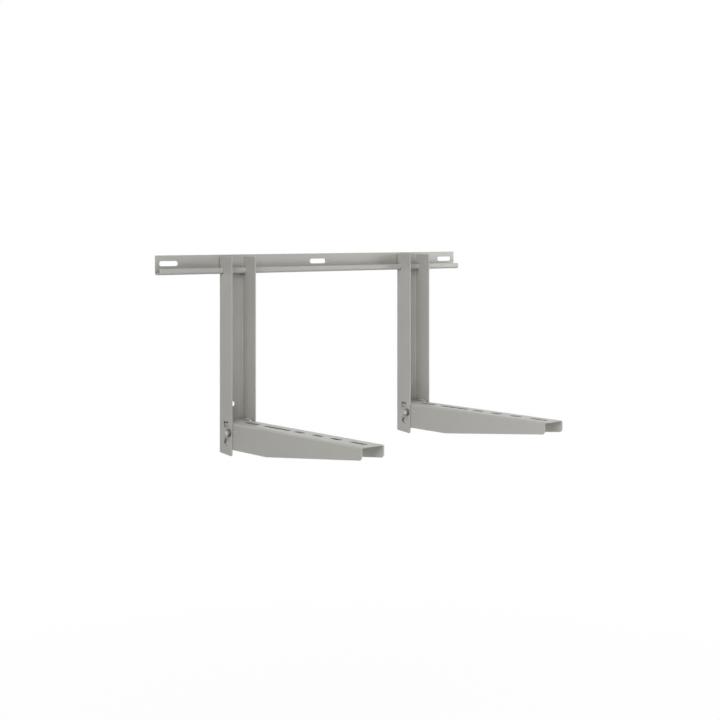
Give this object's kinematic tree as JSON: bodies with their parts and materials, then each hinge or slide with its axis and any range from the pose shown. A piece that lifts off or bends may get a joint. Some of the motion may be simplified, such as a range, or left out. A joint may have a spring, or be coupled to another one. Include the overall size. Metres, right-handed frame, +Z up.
{
  "type": "air conditioner outdoor unit bracket",
  "caption": "Adjustable wall bracket for an outdoor unit: a J-section crossbar with two hooked, sliding uprights and slotted, tapered channel arms bolted into them.",
  "frame": {"origin": "middle of the crossbar's middle wall slot, on the face that lies on the wall", "axes": "+X along the crossbar to the right as seen from the room, +Y into the wall, +Z up"},
  "size_m": [0.8, 0.44, 0.3976],
  "materials": {
    "powder_coat": "warm light grey powder coat, satin",
    "zinc_plate": "bright zinc plate"
  },
  "bodies": {
    "rail": {"crossbar": "powder_coat"},
    "left_bracket": {"left_upright": "powder_coat", "left_arm": "powder_coat", "left_arm_bolt": "zinc_plate", "left_arm_nut": "zinc_plate", "left_head_washer": "zinc_plate", "left_nut_washer": "zinc_plate"},
    "right_bracket": {"right_upright": "powder_coat", "right_arm": "powder_coat", "right_arm_bolt": "zinc_plate", "right_arm_nut": "zinc_plate", "right_head_washer": "zinc_plate", "right_nut_washer": "zinc_plate"}
  },
  "joints": [
    {"name": "left_bracket_slide", "type": "slide", "parent": "rail", "child": "left_bracket", "axis": [1, 0, 0], "range_m": [-0.0935, 0.1705]},
    {"name": "right_bracket_slide", "type": "slide", "parent": "rail", "child": "right_bracket", "axis": [1, 0, 0], "range_m": [-0.199, 0.065]}
  ]
}
